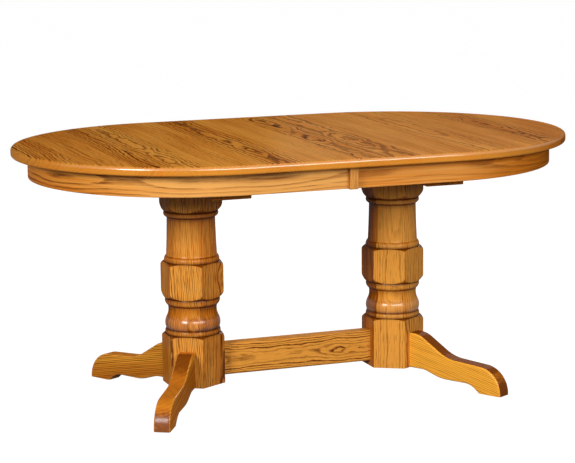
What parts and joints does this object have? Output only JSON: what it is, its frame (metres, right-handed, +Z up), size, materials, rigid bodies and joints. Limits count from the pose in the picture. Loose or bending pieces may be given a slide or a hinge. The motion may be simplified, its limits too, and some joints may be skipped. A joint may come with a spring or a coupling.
{
  "type": "double pedestal dining table",
  "caption": "Racetrack oval extension dining table on turned six-sided pedestals with curved feet and a stretcher; the top parts at the middle on geared slides.",
  "frame": {"origin": "on the floor, midway between the two pedestals, under the middle of the closed top", "axes": "+X along the table towards its right end, -Y to the front, +Z up"},
  "size_m": [1.6764, 1.0668, 0.762],
  "materials": {
    "oak_top": "honey oak, satin lacquer",
    "oak_apron": "honey oak, satin lacquer",
    "oak_pedestal": "honey oak, satin lacquer",
    "oak_foot": "honey oak, satin lacquer",
    "oak_cleat": "honey oak, thin lacquer",
    "maple": "waxed maple",
    "nylon": "moulded nylon",
    "glide_plastic": "moulded nylon",
    "steel": "zinc plated"
  },
  "bodies": {
    "base": {"left_pedestal_column": "oak_pedestal", "right_pedestal_column": "oak_pedestal", "left_front_foot": "oak_foot", "left_back_foot": "oak_foot", "right_front_foot": "oak_foot", "right_back_foot": "oak_foot", "stretcher": "oak_foot", "foot_glides": "glide_plastic", "foot_hanger_bolts": "steel", "foot_bolt_washers": "steel", "foot_bolt_nuts": "steel", "stretcher_hanger_bolts": "steel", "stretcher_bolt_washers": "steel", "stretcher_bolt_nuts": "steel", "left_cleat": "oak_cleat", "right_cleat": "oak_cleat", "cleat_lag_screws": "steel", "front_fixed_rail": "maple", "back_fixed_rail": "maple", "fixed_rail_screws": "steel", "front_pinion_axle": "steel", "back_pinion_axle": "steel"},
    "left_half": {"left_top": "oak_top", "left_alignment_pins": "maple", "left_apron": "oak_apron", "left_seam_cover": "oak_apron", "left_rail_screws": "steel", "left_front_rail": "maple", "left_back_rail": "maple", "left_front_rack": "nylon", "left_back_rack": "nylon", "left_glue_blocks": "maple", "left_lock_plate": "steel", "left_lock_keeper": "steel"},
    "right_half": {"right_top": "oak_top", "right_alignment_pins": "maple", "right_apron": "oak_apron", "right_seam_cover": "oak_apron", "right_rail_screws": "steel", "right_front_rail": "maple", "right_back_rail": "maple", "right_front_rack": "nylon", "right_back_rack": "nylon", "right_glue_blocks": "maple", "right_lock_plate": "steel", "right_lock_keeper": "steel"},
    "front_pinion": {"front_pinion": "nylon"},
    "back_pinion": {"back_pinion": "nylon"},
    "front_lock_lever": {"front_lock_lever": "steel"},
    "back_lock_lever": {"back_lock_lever": "steel"}
  },
  "joints": [
    {"name": "left_half_slide", "type": "slide", "parent": "base", "child": "left_half", "axis": [-1, 0, 0], "range_m": [0, 0.3048]},
    {"name": "right_half_slide", "type": "slide", "parent": "base", "child": "right_half", "axis": [1, 0, 0], "range_m": [0, 0.3048]},
    {"name": "front_pinion_spin", "type": "hinge", "parent": "base", "child": "front_pinion", "pos_m": [0, -0.19, 0.7191], "axis": [0, 0, 1], "range_deg": [-780, 0]},
    {"name": "back_pinion_spin", "type": "hinge", "parent": "base", "child": "back_pinion", "pos_m": [0, 0.19, 0.7191], "axis": [0, 0, 1], "range_deg": [-780, 0]},
    {"name": "front_lock_turn", "type": "hinge", "parent": "left_half", "child": "front_lock_lever", "pos_m": [-0.024, -0.405, 0.7328], "axis": [0, 0, -1], "range_deg": [0, 68]},
    {"name": "back_lock_turn", "type": "hinge", "parent": "right_half", "child": "back_lock_lever", "pos_m": [0.024, 0.405, 0.7328], "axis": [0, 0, -1], "range_deg": [0, 68]}
  ],
  "couplings": [
    {"joint": "right_half_slide", "follows": "left_half_slide", "ratio": 1},
    {"joint": "front_pinion_spin", "follows": "left_half_slide", "rad_per_m": -44.444},
    {"joint": "back_pinion_spin", "follows": "left_half_slide", "rad_per_m": -44.444}
  ]
}
